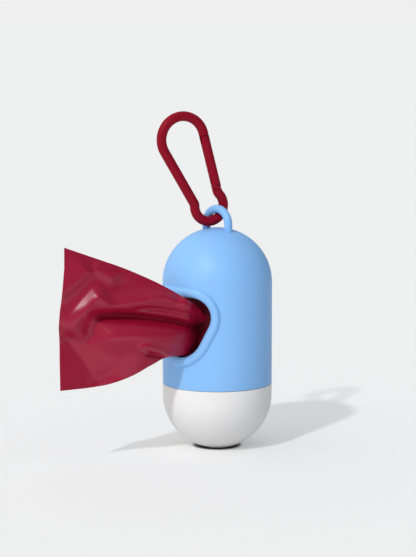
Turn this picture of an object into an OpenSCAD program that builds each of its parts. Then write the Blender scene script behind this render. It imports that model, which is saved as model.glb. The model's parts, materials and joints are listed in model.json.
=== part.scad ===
// Capsule-shaped dispenser for a roll of small bags, with a belt clip.
// Millimetres. +Z is up and the bag port faces -Y. The origin is the
// middle of the flat foot that the capsule stands on.

/* [Capsule] */
// Outside radius of the capsule
body_r = 22.5; // [22.3:0.1:22.8]
// Distance between the centres of the two round ends
straight_h = 46.5; // [45:0.5:48]
// Radius of the flat foot
foot_r = 6; // [4:0.5:8]
// Wall thickness of both halves
wall = 1.8; // [1.6:0.1:1.9]
// Height of the seam between shell and cup
seam_z = 26.5; // [25.5:0.5:27]
// Gap left at the seam
seam_gap = 0.2; // [0.1:0.05:0.3]

/* [Screw neck] */
// Outside radius of the neck that enters the shell
neck_r = 19.15; // [19:0.05:19.2]
// Inside radius of the neck and of the cup below it
neck_bore_r = 17.4; // [17:0.1:17.6]
// Height of the neck above the seam
neck_h = 7.5; // [7:0.5:8]
// Rise of the three-start thread in one turn
thread_lead = 9; // [8.5:0.5:9.5]
// Angle that each thread ridge covers
thread_turn = 100; // [60:5:105]
// Width of a ridge where it meets its wall
thread_root_w = 1.7; // [1.4:0.1:1.7]
// Width of a ridge at its crest
thread_crest_w = 1; // [0.8:0.1:1]

/* [Port] */
// Sideways position of the port's upper corner centres, along the wall
port_corner_s = 7; // [6.5:0.5:7.5]
// Height of the port's upper corner centres
port_corner_z = 56.4; // [55.5:0.1:57]
// Radius of the port's upper corners at the opening
port_corner_r = 7.9; // [7.5:0.1:8.1]
// Height of the centre of the port's round lower end
port_base_z = 51.05; // [50.5:0.05:51.5]
// Radius of the port's lower end at the opening
port_base_r = 11.65; // [11.3:0.05:11.8]
// Width of the raised lip around the port
lip_w = 3.85; // [3.4:0.05:4.2]
// How far the lip stands out of the wall
lip_h = 1.4; // [1:0.1:1.6]

/* [Lanyard ring] */
// Radius of the ring's bar
ring_bar_r = 1.65; // [1.5:0.05:1.65]
// Half the distance between the ring's legs
ring_half_w = 6.3; // [6.3:0.1:6.8]
// Height of the bar's centre at the top of the ring
ring_top_z = 98.39; // [98.39:0.01:98.8]

/* [Carabiner] */
// Radius of the carabiner's bar
bar_r = 2; // [1.8:0.05:2]
// Bend radius of the small loop
small_r = 6.45; // [6.45:0.05:6.6]
// Bend radius of the large loop
large_r = 9.44; // [9.2:0.02:9.8]
// Distance between the centres of the two loops
loop_pitch = 29.67; // [28.5:0.01:31]
// Angle of each leg to the carabiner's axis
leg_lean = 8.3; // [7.8:0.1:8.8]
// Bend radius at the waist
waist_r = 2.6; // [2.4:0.1:2.8]
// Centre of the small loop
clip_pos = [-2.8, -2.022, 99.67];
// Direction that the carabiner's plane faces along, about +Z
clip_turn = 70; // [68:1:72]
// Lean of the carabiner from upright
clip_lean = 23.2; // [20:0.2:26]

/* [Gate] */
// Distance of the hinge pin along the gate leg
hinge_t = 7.4; // [7.2:0.1:7.8]
// Distance of the latch pin along the gate leg
latch_t = 26.95; // [26.5:0.05:27.2]
// Thickness of the tongues that enter the gate
tongue_w = 1.5; // [1.3:0.1:1.6]
// Width of the slots in the gate
slot_w = 1.7; // [1.7:0.05:1.9]
// Radius of the hinge pin
hinge_pin_r = 0.5; // [0.4:0.05:0.55]
// Radius of the latch pin
latch_pin_r = 0.45; // [0.4:0.05:0.5]
// Sideways shift of the round end that the plunger rides on
cam_shift = 0.35; // [0.25:0.05:0.4]
// Radius of the bore that holds the spring
spring_bore_r = 1; // [0.95:0.05:1.05]
// Turns of the gate spring
spring_turns = 6; // [4:1:8]

/* [Bag roll] */
// Outside radius of the wound film
roll_r = 15.5; // [12:0.5:15.5]
// Width of the wound strip
roll_w = 60; // [58:1:60]
// Height of the roll's lower face
roll_z = 8.3; // [8.3:0.1:9]
// Outside radius of the paper core
core_r = 6.5; // [5.5:0.5:7]
// Wall of the paper core
core_wall = 0.8; // [0.5:0.1:1]

/* [Film] */
// Thickness that stands in for the folded film
film_t = 0.3; // [0.3:0.05:0.4]
// Distance of the free edge from where the film leaves the roll
film_reach = 75; // [60:1:76]
// Depth of the folds where the film is gathered
fold_depth = 2; // [1:0.1:2.2]
// Height of the belly below the long valley
belly_rise = 3; // [2:0.1:3.4]
// Height of the slope under the belly
skirt_rise = 1.8; // [1:0.1:2.4]
// Depth of the long valley that runs into the port
valley_depth = 2; // [1:0.1:2.4]
// Height of the flap that hangs over the valley
flap_rise = 2.2; // [1:0.1:2.8]
// Height of the hump near the free edge
hump_rise = 3; // [2:0.1:3.4]
// Height of the fold that runs down from the upper peak
peak_rise = 1.6; // [1:0.1:2]
// Depth of the fold that cuts off the lower corner
corner_depth = 2.2; // [1:0.1:2.6]

/* [Colours] */
// Shell and ring
shell_colour = [0.56, 0.76, 0.95];
// Cup
cup_colour = [0.93, 0.93, 0.92];
// Carabiner coating
coat_colour = [0.48, 0.08, 0.16];
// Bare metal pins and spring
metal_colour = [0.75, 0.75, 0.77];
// Paper core
paper_colour = [0.72, 0.6, 0.45];
// Film
film_colour = [0.55, 0.1, 0.2];

/* [Hidden] */
$fn = 96;
inner_r = body_r - wall;
low_z = round(1000 * sqrt(body_r * body_r - foot_r * foot_r)) / 1000;
high_z = low_z + straight_h;
shell_edge_z = seam_z + seam_gap / 2;
cup_edge_z = seam_z - seam_gap / 2;
neck_top_z = seam_z + neck_h;
thread_starts = 3;
thread_pitch = thread_lead / thread_starts;
female_crest_r = neck_r + 0.35;
male_crest_r = inner_r - 0.35;
thread_z = seam_z + 1.9;
port_side_a = -27.4;
port_face = 12;
leg_q = large_r - loop_pitch * sin(leg_lean);
waist_x = leg_q + waist_r;
waist_t = sqrt(pow(small_r + waist_r, 2) - waist_x * waist_x);
waist_pos = [
    waist_x * cos(leg_lean) + waist_t * sin(leg_lean),
    waist_t * cos(leg_lean) - waist_x * sin(leg_lean)
];
waist_a = atan2(waist_pos[1], waist_pos[0]);
leg_top_t = loop_pitch * cos(leg_lean);
joint_gap = 0.03;
cam_r = 1.55;
fork_r = 1.85;
seat_t = hinge_t - bar_r;
slot_top_t = hinge_t + 2.2;
spring_low_t = hinge_t + 4;
spring_top_t = hinge_t + 9;
nose_slot_t = latch_t - 1.75;
gate_top_t = latch_t + 1.35;
nose_t = gate_top_t + 0.3;
lead_r = roll_r + 0.5;
tangent_a = -20.4;
tangent_pos = [lead_r * cos(tangent_a), lead_r * sin(tangent_a)];
pull_a = tangent_a - 90;
port_reach = 17;

// Lines of the main folds, as distance from the roll and height, and their half widths.
belly_line = [[57, 53], [42, 54], [18, 49]];
belly_width = 4.4;
skirt_line = [[62, 45], [24, 46]];
skirt_width = 8;
valley_line = [[62, 60], [44, 59], [14, 53]];
valley_width = 2.8;
flap_line = [[50, 65], [30, 65], [14, 60]];
flap_width = 4.5;
hump_line = [[56, 74], [65, 62], [66, 55], [63, 49]];
hump_width = 4.6;
peak_line = [[62, 80], [75, 70]];
peak_width = 5;
corner_line = [[76, 58], [58, 32]];
corner_width = 7;

// ---------- shared shapes ----------

// A cylinder with a hemisphere on one end.
module round_end(r, centre_z, far_z) {
    translate([0, 0, centre_z])
        sphere(r = r);
    translate([0, 0, min(centre_z, far_z)])
        cylinder(r = r, h = abs(far_z - centre_z));
}

// A closed tube of polygon sections; sections are lists of equal length.
module skin(sections, closed = false) {
    n = len(sections);
    m = len(sections[0]);
    points = [for (s = sections) each s];
    last = closed ? n - 1 : n - 2;
    sides = [
        for (i = [0:last])
            for (j = [0:m - 1])
                let (a = i * m, b = (i + 1) % n * m, k = (j + 1) % m)
                    each [[a + j, a + k, b + k], [a + j, b + k, b + j]]
    ];
    low_cap = closed ? [] : [[for (j = [m - 1:-1:0]) j]];
    high_cap = closed ? [] : [[for (j = [0:m - 1]) (n - 1) * m + j]];
    polyhedron(points = points, faces = concat(sides, low_cap, high_cap), convexity = 8);
}

// ---------- screw thread ----------

function ridge_ramp(i, n) = min(1, i / 3, (n - i) / 3);

function ridge_section(a, z, root, crest, up) =
    let (edge = root + (crest - root) * max(up, 0.08), w = thread_root_w / 2)
    let (c = w + (thread_crest_w / 2 - w) * up)
    [for (p = [[root, -w], [edge, -c], [edge, c], [root, w]]) [p[0] * cos(a), p[0] * sin(a), z + p[1]]];

// One helical ridge that starts at height z and angle a.
module ridge(root, crest, z, a) {
    steps = 20;
    raw = [
        for (i = [0:steps])
            let (turn = thread_turn * i / steps)
                ridge_section(a + turn, z + thread_lead * turn / 360, root, crest, ridge_ramp(i, steps))
    ];
    outward = crest > root;
    sections = outward ? raw : [for (s = raw) [s[3], s[2], s[1], s[0]]];
    skin(sections);
}

// ---------- port and lip ----------

function arc(c, r, a0, a1, n) = [
    for (i = [0:n])
        let (a = a0 + (a1 - a0) * i / n)
            c + r * [cos(a), sin(a)]
];

function between(p, q, n) = [for (i = [1:n - 1]) p + (q - p) * i / n];

// Outline of the port on the unrolled wall, a distance d outside the opening.
function port_outline(d) =
    let (r1 = port_corner_r + d, r2 = port_base_r + d, s = port_side_a, n = port_face)
    let (right = arc([port_corner_s, port_corner_z], r1, s, 90, n))
    let (left = arc([-port_corner_s, port_corner_z], r1, 90, 180 - s, n))
    let (base = arc([0, port_base_z], r2, 180 - s, 360 + s, n))
    concat(
        right, between(right[n], left[0], 4),
        left, between(left[n], base[0], 3),
        base, between(base[n], right[0], 3)
    );

// A point of the unrolled wall, rolled up again at a height n above it.
function rolled(p, n) =
    let (a = p[0] / body_r * 180 / PI)
    [(body_r + n) * sin(a), -(body_r + n) * cos(a), p[1]];

module port_lip() {
    profile = [
        [0, -1], [0.1, -0.3], [0.3, 0.3], [0.65, 0.8], [1.2, 1.2], [1.9, 1.4],
        [2.5, 1.3], [3.1, 0.95], [3.55, 0.45], [3.85, -0.35], [2.4, -1.3], [0.5, -1.5]
    ];
    rings = [
        for (p = profile)
            let (out = p[0] * lip_w / 3.85, up = p[1] > 0 ? p[1] * lip_h / 1.4 : p[1])
                [for (q = port_outline(out)) rolled(q, up)]
    ];
    skin(rings, closed = true);
}

// A plug through the wall a little outside the opening, with fanned ends.
module port_plug() {
    outer = [for (q = port_outline(1.1)) rolled(q, 3)];
    inner = [for (q = port_outline(1.1)) rolled(q, -4)];
    m = len(outer);
    points = concat(outer, inner, [[0, -body_r - 3, port_corner_z - 4], [0, 4 - body_r, port_corner_z - 4]]);
    faces = [
        for (j = [0:m - 1])
            let (k = (j + 1) % m)
                each [[j, k, m + k], [j, m + k, m + j], [k, j, 2 * m], [m + j, m + k, 2 * m + 1]]
    ];
    polyhedron(points = points, faces = faces, convexity = 4);
}

// ---------- shell ----------

module lanyard_ring() {
    arch_z = ring_top_z - ring_half_w;
    foot_z = high_z + 20.5;
    translate([0, 0, arch_z])
        rotate([90, 0, 0])
            rotate_extrude(angle = 180)
                translate([ring_half_w, 0])
                    circle(r = ring_bar_r, $fn = 32);
    for (side = [-1, 1])
        translate([side * ring_half_w, 0, arch_z])
            mirror([0, 0, 1])
                cylinder(r = ring_bar_r, h = arch_z - foot_z, $fn = 32);
}

// The domed wall with its port cut out, the ring and the inside thread.
module shell_wall() {
    difference() {
        round_end(body_r, high_z, shell_edge_z);
        translate([0, 0, -1])
            round_end(inner_r, high_z + 1, shell_edge_z - 1);
        port_plug();
    }
    lanyard_ring();
    for (i = [0:thread_starts - 1])
        ridge(inner_r + 0.5, female_crest_r, thread_z, 30 + i * 360 / thread_starts);
}

module upper_shell() {
    color(shell_colour)
        union() {
            union() {
                shell_wall();
            }
            port_lip();
        }
}

// ---------- cup ----------

module cup_outside() {
    intersection() {
        round_end(body_r, low_z, cup_edge_z);
        translate([0, 0, cup_edge_z / 2])
            cube([3 * body_r, 3 * body_r, cup_edge_z], center = true);
    }
    translate([0, 0, cup_edge_z - 1])
        cylinder(r = neck_r, h = neck_top_z - 0.5 - cup_edge_z + 1);
    translate([0, 0, neck_top_z - 0.5])
        cylinder(r1 = neck_r, r2 = neck_r - 0.4, h = 0.5);
}

module cup_inside() {
    intersection() {
        round_end(inner_r, low_z, neck_top_z + 2);
        translate([0, 0, wall])
            cylinder(r = neck_bore_r, h = neck_top_z + 2);
    }
}

module lower_cup() {
    color(cup_colour) {
        difference() {
            cup_outside();
            cup_inside();
        }
        for (i = [0:thread_starts - 1])
            ridge(neck_r - 0.5, male_crest_r, thread_z + thread_pitch / 2, 30 + i * 360 / thread_starts);
    }
}

// ---------- carabiner ----------

// Into the carabiner's own plane: X across, Z from the small loop to the large.
module in_clip() {
    translate(clip_pos)
        rotate([0, 0, clip_turn])
            rotate([0, -clip_lean, 0])
                children();
}

// Onto the axis of the gate leg: Z along the leg, X outwards.
module on_leg() {
    translate([leg_q * cos(leg_lean), 0, -leg_q * sin(leg_lean)])
        rotate([0, leg_lean, 0])
            children();
}

// A bend of the bar in the XZ plane about a centre, from angle a0 by turn.
// Both ends stop just short, and a dowel bridges to the next length.
module bend(centre, r, a0, turn) {
    short = joint_gap / r * 180 / PI;
    translate([centre[0], 0, centre[1]])
        rotate([90, 0, 0])
            rotate([0, 0, a0 + short])
                rotate_extrude(angle = turn - 2 * short)
                    translate([r, 0])
                        circle(r = bar_r, $fn = 40);
}

// The dowel, centred where two lengths of bar meet, along Z.
module dowel() {
    translate([0, 0, -0.15])
        cylinder(r = bar_r - 0.03, h = 0.3, $fn = 40);
}

// A round plate or pin across the leg at distance t along it.
module cross_disc(r, t, w, n = 0) {
    translate([n, w / 2, t])
        rotate([90, 0, 0])
            cylinder(r = r, h = w, $fn = 40);
}

module hinge_tongue() {
    difference() {
        union() {
            cross_disc(cam_r, hinge_t, tongue_w, -cam_shift);
            translate([-cam_shift - cam_r, -tongue_w / 2, seat_t - 1])
                cube([2 * cam_r, tongue_w, hinge_t - seat_t + 1]);
        }
        cross_disc(hinge_pin_r + 0.05, hinge_t, 6);
    }
}

module latch_nose() {
    difference() {
        translate([-0.9, -tongue_w / 2, latch_t - 1.35])
            cube([2.6, tongue_w, nose_t - latch_t + 2.2]);
        translate([-2, -3, latch_t - latch_pin_r - 0.1])
            cube([2.5, 6, 2 * latch_pin_r + 0.2]);
        cross_disc(latch_pin_r + 0.1, latch_t, 6, 0.5);
        translate([-1.2, -3, latch_t + 0.2])
            cube([0.7, 6, 1]);
    }
}

// The right half's bends and dowels; the left half mirrors them.
module waist_side() {
    bend(waist_pos, waist_r, 180 - leg_lean, waist_a + leg_lean);
    translate([small_r * cos(waist_a), 0, small_r * sin(waist_a)])
        rotate([0, -waist_a, 0])
            dowel();
    on_leg() {
        translate([0, 0, waist_t])
            dowel();
        translate([0, 0, leg_top_t])
            dowel();
    }
}

module carabiner_frame() {
    color(coat_colour)
        in_clip() {
            bend([0, 0], small_r, 180 - waist_a, 180 + 2 * waist_a);
            bend([0, loop_pitch], large_r, -leg_lean, 180 + 2 * leg_lean);
            waist_side();
            mirror([1, 0, 0]) {
                waist_side();
                on_leg()
                    translate([0, 0, waist_t + joint_gap])
                        cylinder(r = bar_r, h = leg_top_t - waist_t - 2 * joint_gap, $fn = 40);
            }
            on_leg() {
                translate([0, 0, waist_t + joint_gap])
                    cylinder(r = bar_r, h = seat_t - waist_t - joint_gap, $fn = 40);
                translate([0, 0, nose_t])
                    cylinder(r = bar_r, h = leg_top_t - nose_t - joint_gap, $fn = 40);
                hinge_tongue();
                latch_nose();
            }
        }
}

module carabiner_gate() {
    color(coat_colour)
        in_clip()
            on_leg()
                difference() {
                    union() {
                        translate([0, 0, hinge_t])
                            cylinder(r = bar_r, h = gate_top_t - hinge_t, $fn = 40);
                        intersection() {
                            translate([0, 0, hinge_t - bar_r])
                                cylinder(r = bar_r, h = bar_r, $fn = 40);
                            cross_disc(fork_r, hinge_t, 6);
                        }
                    }
                    translate([-3, -slot_w / 2, hinge_t - 3])
                        cube([6, slot_w, slot_top_t - hinge_t + 3]);
                    translate([-3, -slot_w / 2, nose_slot_t])
                        cube([6, slot_w, 6]);
                    translate([0, 0, slot_top_t - 1])
                        cylinder(r = spring_bore_r, h = spring_top_t - slot_top_t + 1, $fn = 32);
                    cross_disc(hinge_pin_r + 0.01, hinge_t, 6);
                    cross_disc(latch_pin_r + 0.01, latch_t, 6, 0.5);
                }
}

module gate_hinge_pin() {
    color(metal_colour)
        in_clip()
            on_leg()
                cross_disc(hinge_pin_r, hinge_t, 3.8);
}

module gate_latch_pin() {
    color(metal_colour)
        in_clip()
            on_leg()
                cross_disc(latch_pin_r, latch_t, 3.7, 0.5);
}

module gate_plunger() {
    low_t = hinge_t + cam_r + 0.03;
    color(metal_colour)
        in_clip()
            on_leg() {
                translate([0, 0, low_t])
                    cylinder(r = 0.7, h = 0.5, $fn = 32);
                translate([0, 0, low_t + 0.4])
                    cylinder(r = spring_bore_r - 0.1, h = spring_low_t - low_t - 0.4, $fn = 32);
            }
}

module gate_spring() {
    wire = 0.16;
    coil_r = spring_bore_r - wire - 0.12;
    rise = spring_top_t - spring_low_t - 2 * wire - 0.1;
    steps = spring_turns * 12;
    sections = [
        for (i = [0:steps])
            let (a = 360 * spring_turns * i / steps, z = rise * i / steps)
                [
                    for (b = [0:60:300])
                        let (r = coil_r + wire * cos(b))
                            [r * cos(a), r * sin(a), z + wire * sin(b)]
                ]
    ];
    color(metal_colour)
        in_clip()
            on_leg()
                translate([0, 0, spring_low_t + wire + 0.05])
                    skin(sections);
}

// ---------- roll and film ----------

module roll_core() {
    color(paper_colour)
        translate([0, 0, roll_z])
            difference() {
                cylinder(r = core_r, h = roll_w);
                translate([0, 0, -1])
                    cylinder(r = core_r - core_wall, h = roll_w + 2);
            }
}

module bag_roll() {
    color(film_colour)
        translate([0, 0, roll_z])
            difference() {
                cylinder(r = roll_r, h = roll_w);
                translate([0, 0, -1])
                    cylinder(r = core_r + 0.05, h = roll_w + 2);
                for (r = [8.5:2:14.5])
                    for (z = [-0.1, roll_w - 0.3])
                        translate([0, 0, z])
                            difference() {
                                cylinder(r = r + 0.25, h = 0.4);
                                translate([0, 0, -1])
                                    cylinder(r = r - 0.25, h = 3);
                            }
            }
}

// Lower and upper edge of the strip at a distance along its path.
function film_low(t) =
    lookup(t, [
        [-20, 9.5], [-8, 20], [0, 32], [8, 41.2], [12, 42.8],
        [20, 41.6], [29, 41.5], [41, 37.1], [50, 33.6], [58, 31.8], [66, 31.3], [75, 31.3]
    ]);

function film_high(t) =
    lookup(t, [
        [-20, 67], [-8, 64.5], [0, 60.5], [8, 56.6], [11, 56.2],
        [16, 61], [21, 65], [32, 70.3], [61, 84.1], [75, 87.8]
    ]);

// How strongly the strip is gathered at a distance along its path.
function film_gather(t) =
    lookup(t, [[-20, 0.1], [-6, 0.25], [4, 0.6], [14, 0.7], [24, 0.5], [36, 0], [75, 0]]);

// Room that the folds have between the roll and the wall.
function film_room(t) = lookup(t, [[-20, 0.3], [-3, 0.4], [8, 1], [75, 1]]);

// Point of the strip's path in plan: round the roll, then straight out.
function film_path(t) =
    t < 0 ?
        let (a = tangent_a - t / lead_r * 180 / PI) lead_r * [cos(a), sin(a)] :
        tangent_pos + t * [cos(pull_a), sin(pull_a)];

// Direction square to the strip at that point, away from the roll.
function film_out(t) =
    let (a = t < 0 ? tangent_a - t / lead_r * 180 / PI : tangent_a)
    [cos(a), sin(a)];

// Gap from a point of the strip to one stretch of a fold's line.
function gap_to(p, a, b) =
    let (s = max(0, min(1, (p - a) * (b - a) / ((b - a) * (b - a)))))
    norm(p - a - s * (b - a));

// Swell of one fold at a point of the strip, from its line, height and half width.
function swell(p, line, rise, width) =
    let (gap = min([for (i = [1:len(line) - 1]) gap_to(p, line[i - 1], line[i])]))
    rise * exp(-pow(gap / width, 2));

// All the main folds of the drawn strip, as distance from the roll and height.
function film_relief(p) =
    swell(p, belly_line, belly_rise, belly_width)
    + swell(p, skirt_line, skirt_rise, skirt_width)
    - swell(p, valley_line, valley_depth, valley_width)
    + swell(p, flap_line, flap_rise, flap_width)
    + swell(p, hump_line, hump_rise, hump_width)
    + swell(p, peak_line, peak_rise, peak_width)
    - swell(p, corner_line, corner_depth, corner_width);

// The narrow pleats where the strip is gathered.
function film_pleat(t, v) =
    fold_depth * film_gather(t) * film_room(t) * cos(360 * 3 * v) / 2;

// How far the strip stands out of its flat plane.
function film_fold(t, v, z) =
    film_bow(t) * sin(180 * v)
    - film_pleat(t, v)
    - film_drop(t) * pow(1 - v, 1.5)
    + film_relief([t, z]) * lookup(t, [[port_reach, 0], [port_reach + 9, 1]]);

// How far the middle of the strip bows out of its plane.
function film_bow(t) = lookup(t, [[-20, 0], [10, 0], [22, 1.2], [30, 1.2], [60, 0], [75, 0]]);

// How far its lower edge drops back, to lie in the port's round lower end.
function film_drop(t) = lookup(t, [[-20, 0], [7, 0], [10, 2], [14, 6], [20, 6], [42, 0], [75, 0]]);

function film_point(t, v, side) =
    let (p = film_path(t), o = film_out(t), z0 = film_low(t), z1 = film_high(t))
    let (z = z0 + (z1 - z0) * v)
    let (f = film_fold(t, v, z) + side * film_t / 2)
    [p[0] + f * o[0], p[1] + f * o[1], z];

// A thin sheet between two distances. Both faces are split the same way,
// so that they stay one film thickness apart.
module film_sheet(t0, t1, rows, columns) {
    m = columns + 1;
    back = (rows + 1) * m;
    points = [
        for (side = [1, -1])
            for (i = [0:rows])
                for (j = [0:columns])
                    film_point(t0 + (t1 - t0) * i / rows, j / columns, side)
    ];
    cells = [
        for (i = [0:rows - 1])
            for (j = [0:columns - 1])
                let (a = i * m + j, b = a + m)
                    each [[a, b + 1, a + 1], [a, b, b + 1]]
    ];
    rims = concat(
        [for (j = [0:columns - 1]) [j, j + 1]],
        [for (i = [0:rows - 1]) [(i + 1) * m - 1, (i + 2) * m - 1]],
        [for (j = [columns:-1:1]) [rows * m + j, rows * m + j - 1]],
        [for (i = [rows:-1:1]) [i * m, (i - 1) * m]]
    );
    faces = concat(
        cells,
        [for (c = cells) [c[0] + back, c[2] + back, c[1] + back]],
        [for (e = rims) each [[e[0], e[1], e[1] + back], [e[0], e[1] + back, e[0] + back]]]
    );
    polyhedron(points = points, faces = faces, convexity = 6);
}

module film_lead() {
    color(film_colour)
        film_sheet(-20, port_reach - 0.3, 15, 24);
}

module bag_tail() {
    color(film_colour)
        film_sheet(port_reach, film_reach, 24, 24);
}

// ---------- nodes ----------

upper_shell();
lower_cup();
carabiner_frame();
carabiner_gate();
gate_hinge_pin();
gate_latch_pin();
gate_spring();
gate_plunger();
roll_core();
bag_roll();
film_lead();
bag_tail();
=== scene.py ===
"""Looks of a capsule-shaped dispenser for a roll of small bags.

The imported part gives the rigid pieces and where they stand. This script gives
each of them its finish, lays a smooth bead over the port's lip, winds the bag
roll, pulls the first bag out through the port, and sets the floor, the lamps
and the camera. Lengths are in metres, +Z is up and the port faces -Y.
"""

import json
import logging
import math
from abc import ABC, abstractmethod
from dataclasses import dataclass
from enum import Enum
from typing import Callable, Sequence

import bpy
import numpy as np
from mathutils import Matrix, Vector

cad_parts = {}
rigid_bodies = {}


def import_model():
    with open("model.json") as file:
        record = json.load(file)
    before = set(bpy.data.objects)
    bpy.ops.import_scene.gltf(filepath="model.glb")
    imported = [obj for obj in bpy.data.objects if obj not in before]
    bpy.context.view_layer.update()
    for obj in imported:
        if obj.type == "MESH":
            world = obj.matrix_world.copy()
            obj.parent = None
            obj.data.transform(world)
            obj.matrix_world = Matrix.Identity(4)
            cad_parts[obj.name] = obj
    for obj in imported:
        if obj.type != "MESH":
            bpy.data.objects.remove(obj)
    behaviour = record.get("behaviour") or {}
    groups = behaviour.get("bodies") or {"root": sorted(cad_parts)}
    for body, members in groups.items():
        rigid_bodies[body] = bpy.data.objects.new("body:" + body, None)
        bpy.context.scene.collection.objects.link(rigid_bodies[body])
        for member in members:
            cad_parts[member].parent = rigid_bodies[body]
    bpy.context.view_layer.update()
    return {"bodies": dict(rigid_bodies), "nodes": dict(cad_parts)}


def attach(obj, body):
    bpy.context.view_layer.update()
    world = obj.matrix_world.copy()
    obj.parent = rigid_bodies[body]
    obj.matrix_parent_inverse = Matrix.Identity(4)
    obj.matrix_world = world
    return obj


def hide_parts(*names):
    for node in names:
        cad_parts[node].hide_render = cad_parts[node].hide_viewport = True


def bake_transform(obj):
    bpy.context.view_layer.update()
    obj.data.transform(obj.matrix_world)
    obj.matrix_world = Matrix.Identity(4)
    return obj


LOG = logging.getLogger("dispenser")
MM = 0.001
# Points nearer than this are merged where a face closes on itself.
WELD = 0.001 * MM
# Least distance that anything is divided by, in millimetres.
TINY = 1e-6
# Sockets of Blender's mix node that hold its two colours and their mix.
MIX_DARK, MIX_LIGHT, MIX_RESULT = 6, 7, 2

Triple = tuple[float, float, float]
Colour = Triple
Point = tuple[float, float]
Table = Sequence[Point]


# ---------- small helpers ----------


def deselect_all() -> None:
    """Leave edit mode and select nothing, so that an operator meets only its own piece."""
    if bpy.context.mode != "OBJECT":
        bpy.ops.object.mode_set(mode="OBJECT")
    bpy.ops.object.select_all(action="DESELECT")


def clear_start_up() -> None:
    """Remove the objects that Blender starts with."""
    for thing in list(bpy.data.objects):
        bpy.data.objects.remove(thing, do_unlink=True)


def make_active(piece: bpy.types.Object) -> None:
    """Make one piece the only selected and the active one."""
    deselect_all()
    piece.select_set(True)
    bpy.context.view_layer.objects.active = piece


def ramp(value: np.ndarray | float, table: Table) -> np.ndarray:
    """Read a table of (place, value) pairs, straight between its entries.

    Args:
        value: Places to read at.
        table: Pairs in rising order of place.

    Returns:
        The values at those places.
    """
    places, values = zip(*table)
    return np.interp(value, places, values)


def smooth_table(value: np.ndarray, table: Table) -> np.ndarray:
    """Read a table of (place, value) pairs along a smooth curve.

    Args:
        value: Places to read at.
        table: Pairs in rising order of place.

    Returns:
        The values, on a cubic curve through the pairs that doesn't overshoot.
    """
    places = np.array([pair[0] for pair in table])
    values = np.array([pair[1] for pair in table])
    steps = np.diff(places)
    slopes = np.diff(values) / steps
    tangents = np.zeros_like(values)
    inner = slopes[:-1] * slopes[1:] > 0
    weights = 2 * slopes[:-1] * slopes[1:] / np.where(inner, slopes[:-1] + slopes[1:], 1)
    tangents[1:-1] = np.where(inner, weights, 0)
    tangents[0], tangents[-1] = slopes[0], slopes[-1]
    value = np.clip(value, places[0], places[-1])
    cell = np.clip(np.searchsorted(places, value, side="right") - 1, 0, len(steps) - 1)
    share = (value - places[cell]) / steps[cell]
    start, end = values[cell], values[cell + 1]
    lead, trail = tangents[cell] * steps[cell], tangents[cell + 1] * steps[cell]
    cube, square = share ** 3, share ** 2
    return (
        start * (2 * cube - 3 * square + 1) + end * (3 * square - 2 * cube)
        + lead * (cube - 2 * square + share) + trail * (cube - square)
    )


def cubic(
    before: np.ndarray, start: np.ndarray, end: np.ndarray, after: np.ndarray, share: np.ndarray,
) -> np.ndarray:
    """A smooth curve from one point to the next.

    Args:
        before: The point before the start.
        start: Where the curve starts.
        end: Where it ends.
        after: The point after the end.
        share: Share of the way from start to end, 0 to 1.

    Returns:
        The places on the curve.
    """
    return 0.5 * (
        2 * start + (end - before) * share
        + (2 * before - 5 * start + 4 * end - after) * share ** 2
        + (3 * start - before - 3 * end + after) * share ** 3
    )


def wrapped_grid(
    name: str,
    columns: int,
    rows: int,
    place: Callable[[np.ndarray, np.ndarray], np.ndarray],
    weld: float = 0.0,
) -> bpy.types.Object:
    """Model a curved face from a flat grid whose points are moved into place.

    Args:
        name: Name of the piece.
        columns: Number of cells along the grid.
        rows: Number of cells across the grid.
        place: Gives the places in metres for shares along and across, 0 to 1.
        weld: Points nearer than this are merged, which closes a seam. 0 merges none.

    Returns:
        The new piece, with its place in its mesh.
    """
    deselect_all()
    bpy.ops.mesh.primitive_grid_add(
        x_subdivisions=columns, y_subdivisions=rows, size=2, location=(0, 0, 0),
    )
    piece = bpy.context.active_object
    piece.name = piece.data.name = name
    flat = np.empty(len(piece.data.vertices) * 3)
    piece.data.vertices.foreach_get("co", flat)
    flat = flat.reshape(-1, 3)
    placed = place((flat[:, 0] + 1) / 2, (flat[:, 1] + 1) / 2)
    piece.data.vertices.foreach_set("co", np.ascontiguousarray(placed, dtype=float).ravel())
    piece.data.update()
    if weld:
        bpy.ops.object.mode_set(mode="EDIT")
        bpy.ops.mesh.select_all(action="SELECT")
        bpy.ops.mesh.remove_doubles(threshold=weld)
        bpy.ops.mesh.normals_make_consistent(inside=False)
        bpy.ops.object.mode_set(mode="OBJECT")
    bpy.ops.object.shade_smooth()
    return piece


def dress(piece: bpy.types.Object, material: bpy.types.Material) -> None:
    """Give a piece its one material."""
    piece.data.materials.clear()
    piece.data.materials.append(material)


# ---------- finishes ----------


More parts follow.
